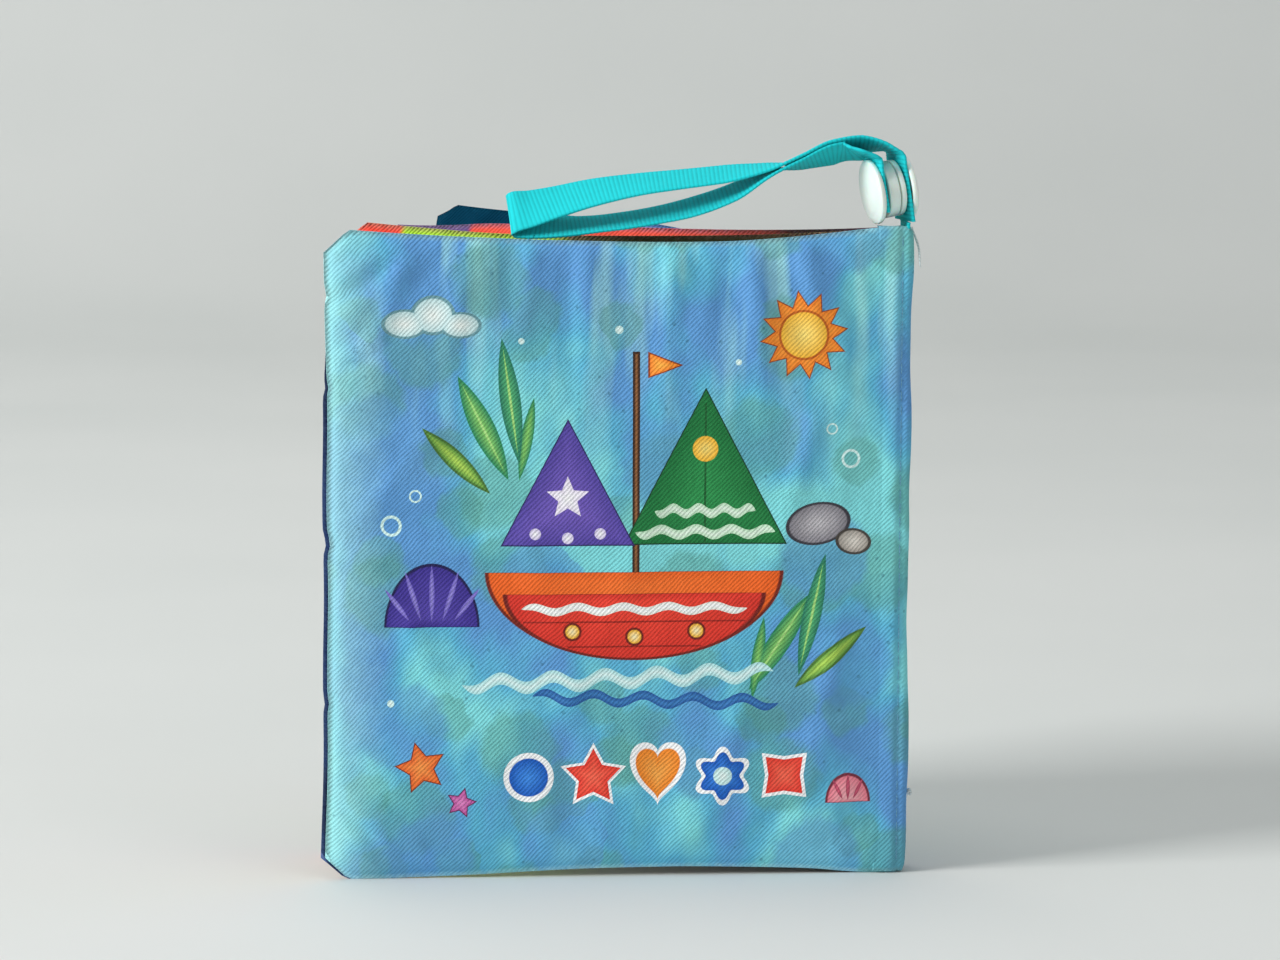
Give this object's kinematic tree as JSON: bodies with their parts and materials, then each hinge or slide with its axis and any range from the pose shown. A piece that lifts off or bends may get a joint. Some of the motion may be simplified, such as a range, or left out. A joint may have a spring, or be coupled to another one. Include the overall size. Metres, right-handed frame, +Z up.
{
  "type": "cloth baby book",
  "caption": "Soft cloth baby book with padded crinkle leaves, a wrapped spine and a ribbon strap that closes with a plastic press stud.",
  "frame": {"origin": "middle of the whole book's box, at the surface it stands on", "axes": "+Z up, +X from the fore edge to the spine, -Y out of the back cover towards the front view"},
  "size_m": [0.1092, 0.0778, 0.1372],
  "materials": {
    "cover_cloth": "printed twill, matte",
    "cover_lining": "printed twill, matte",
    "page_cloth": "printed twill, matte",
    "spine_cloth": "printed twill, matte",
    "ribbon": "ribbed grosgrain, satin",
    "snap_plastic": "moulded, glossy",
    "crinkle_film": "crumpled clear film",
    "wadding": "bonded fibre, matte"
  },
  "bodies": {
    "spine": {"spine_wrap": "spine_cloth", "strap_tail": "ribbon", "front_page_cloth_back": "page_cloth", "front_page_cloth_front": "page_cloth", "front_page_wadding": "wadding", "front_page_crinkle_film": "crinkle_film"},
    "back_page": {"back_page_cloth_back": "page_cloth", "back_page_cloth_front": "page_cloth", "back_page_wadding": "wadding", "back_page_crinkle_film": "crinkle_film"},
    "back_cover": {"back_cover_cloth_back": "cover_cloth", "back_cover_cloth_front": "cover_lining", "back_cover_wadding": "wadding", "back_cover_crinkle_film": "crinkle_film"},
    "front_cover": {"front_cover_cloth_back": "cover_lining", "front_cover_cloth_front": "cover_cloth", "front_cover_wadding": "wadding", "front_cover_crinkle_film": "crinkle_film"},
    "strap": {"strap_loop": "ribbon", "snap_cap_spine": "snap_plastic", "snap_stud": "snap_plastic"},
    "snap_half": {"strap_return": "ribbon", "snap_socket": "snap_plastic", "snap_cap_free": "snap_plastic"}
  },
  "joints": [
    {"name": "back_page_turn", "type": "hinge", "parent": "spine", "child": "back_page", "pos_m": [0.05177, -0.03251, 0.06], "axis": [0, 0, 1], "range_deg": [-8, 130], "deforming": ["spine_wrap", "strap_tail"]},
    {"name": "back_cover_turn", "type": "hinge", "parent": "back_page", "child": "back_cover", "pos_m": [0.05177, -0.03521, 0.06], "axis": [0, 0, 1], "range_deg": [-8, 130]},
    {"name": "front_cover_turn", "type": "hinge", "parent": "spine", "child": "front_cover", "pos_m": [0.05177, -0.02711, 0.06], "axis": [0, 0, 1], "range_deg": [-150, 8]},
    {"name": "strap_flop", "type": "hinge", "parent": "spine", "child": "strap", "pos_m": [0.05277, -0.03146, 0.1216], "axis": [-0.2079, 0.9781, 0], "range_deg": [0, 85]},
    {"name": "snap_pull", "type": "slide", "parent": "strap", "child": "snap_half", "axis": [-0.9633, -0.2048, -0.1736], "range_m": [0, 0.004], "deforming": ["strap_return"]}
  ]
}
